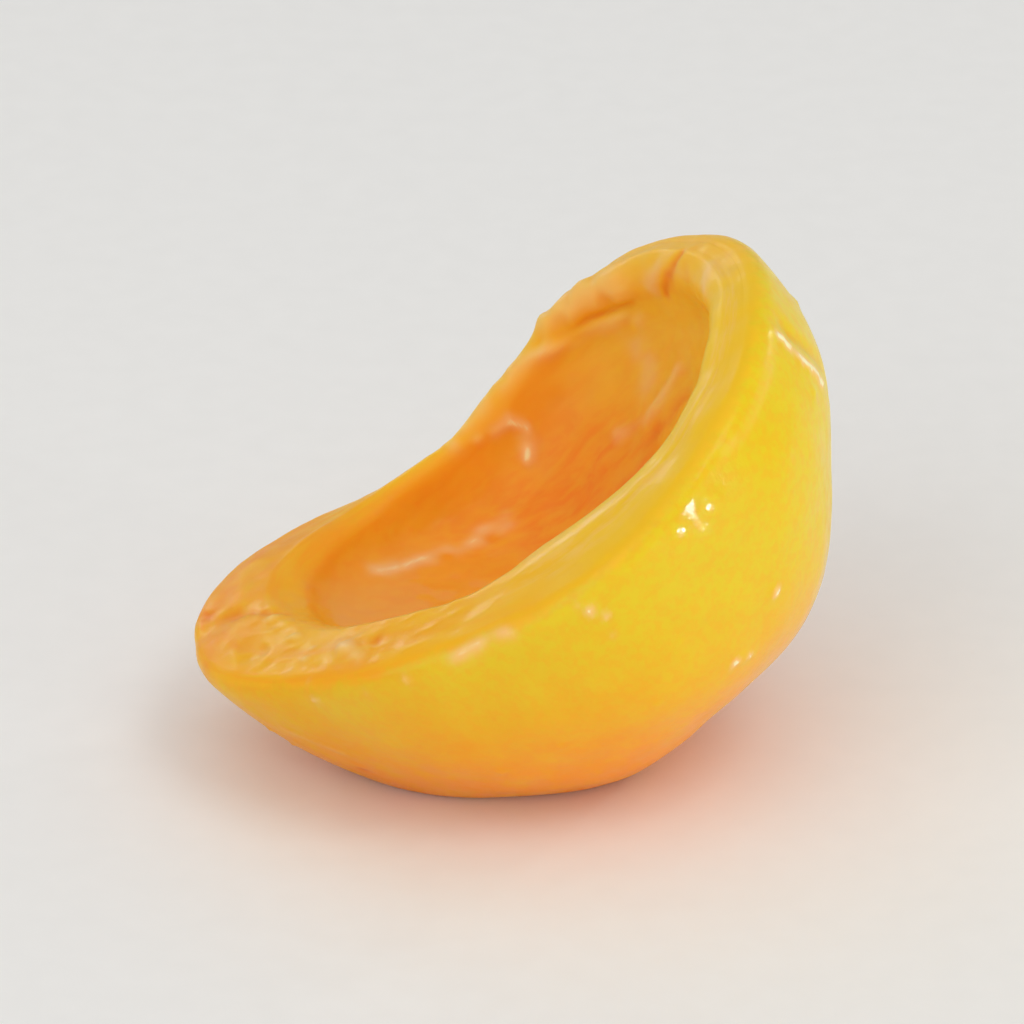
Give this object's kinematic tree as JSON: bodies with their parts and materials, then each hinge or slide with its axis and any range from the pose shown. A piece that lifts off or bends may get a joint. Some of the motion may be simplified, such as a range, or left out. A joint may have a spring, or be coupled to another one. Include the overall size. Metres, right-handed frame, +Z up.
{
  "type": "poached apricot half",
  "caption": "Soft cooked apricot half with its skin, a wet cut face and an open pit hollow, lying tipped on its round side.",
  "frame": {"origin": "middle of the part's box, on the surface that it rests on", "axes": "+Z up, +X along the half towards its rounded end, which is the raised end, +Y towards the folded wall"},
  "size_m": [0.0438, 0.04, 0.0343],
  "materials": {
    "apricot_flesh": "wet translucent yellow-orange fruit flesh and skin under a thin film of syrup"
  },
  "bodies": {
    "root": {"apricot_half": "apricot_flesh"}
  },
  "joints": []
}
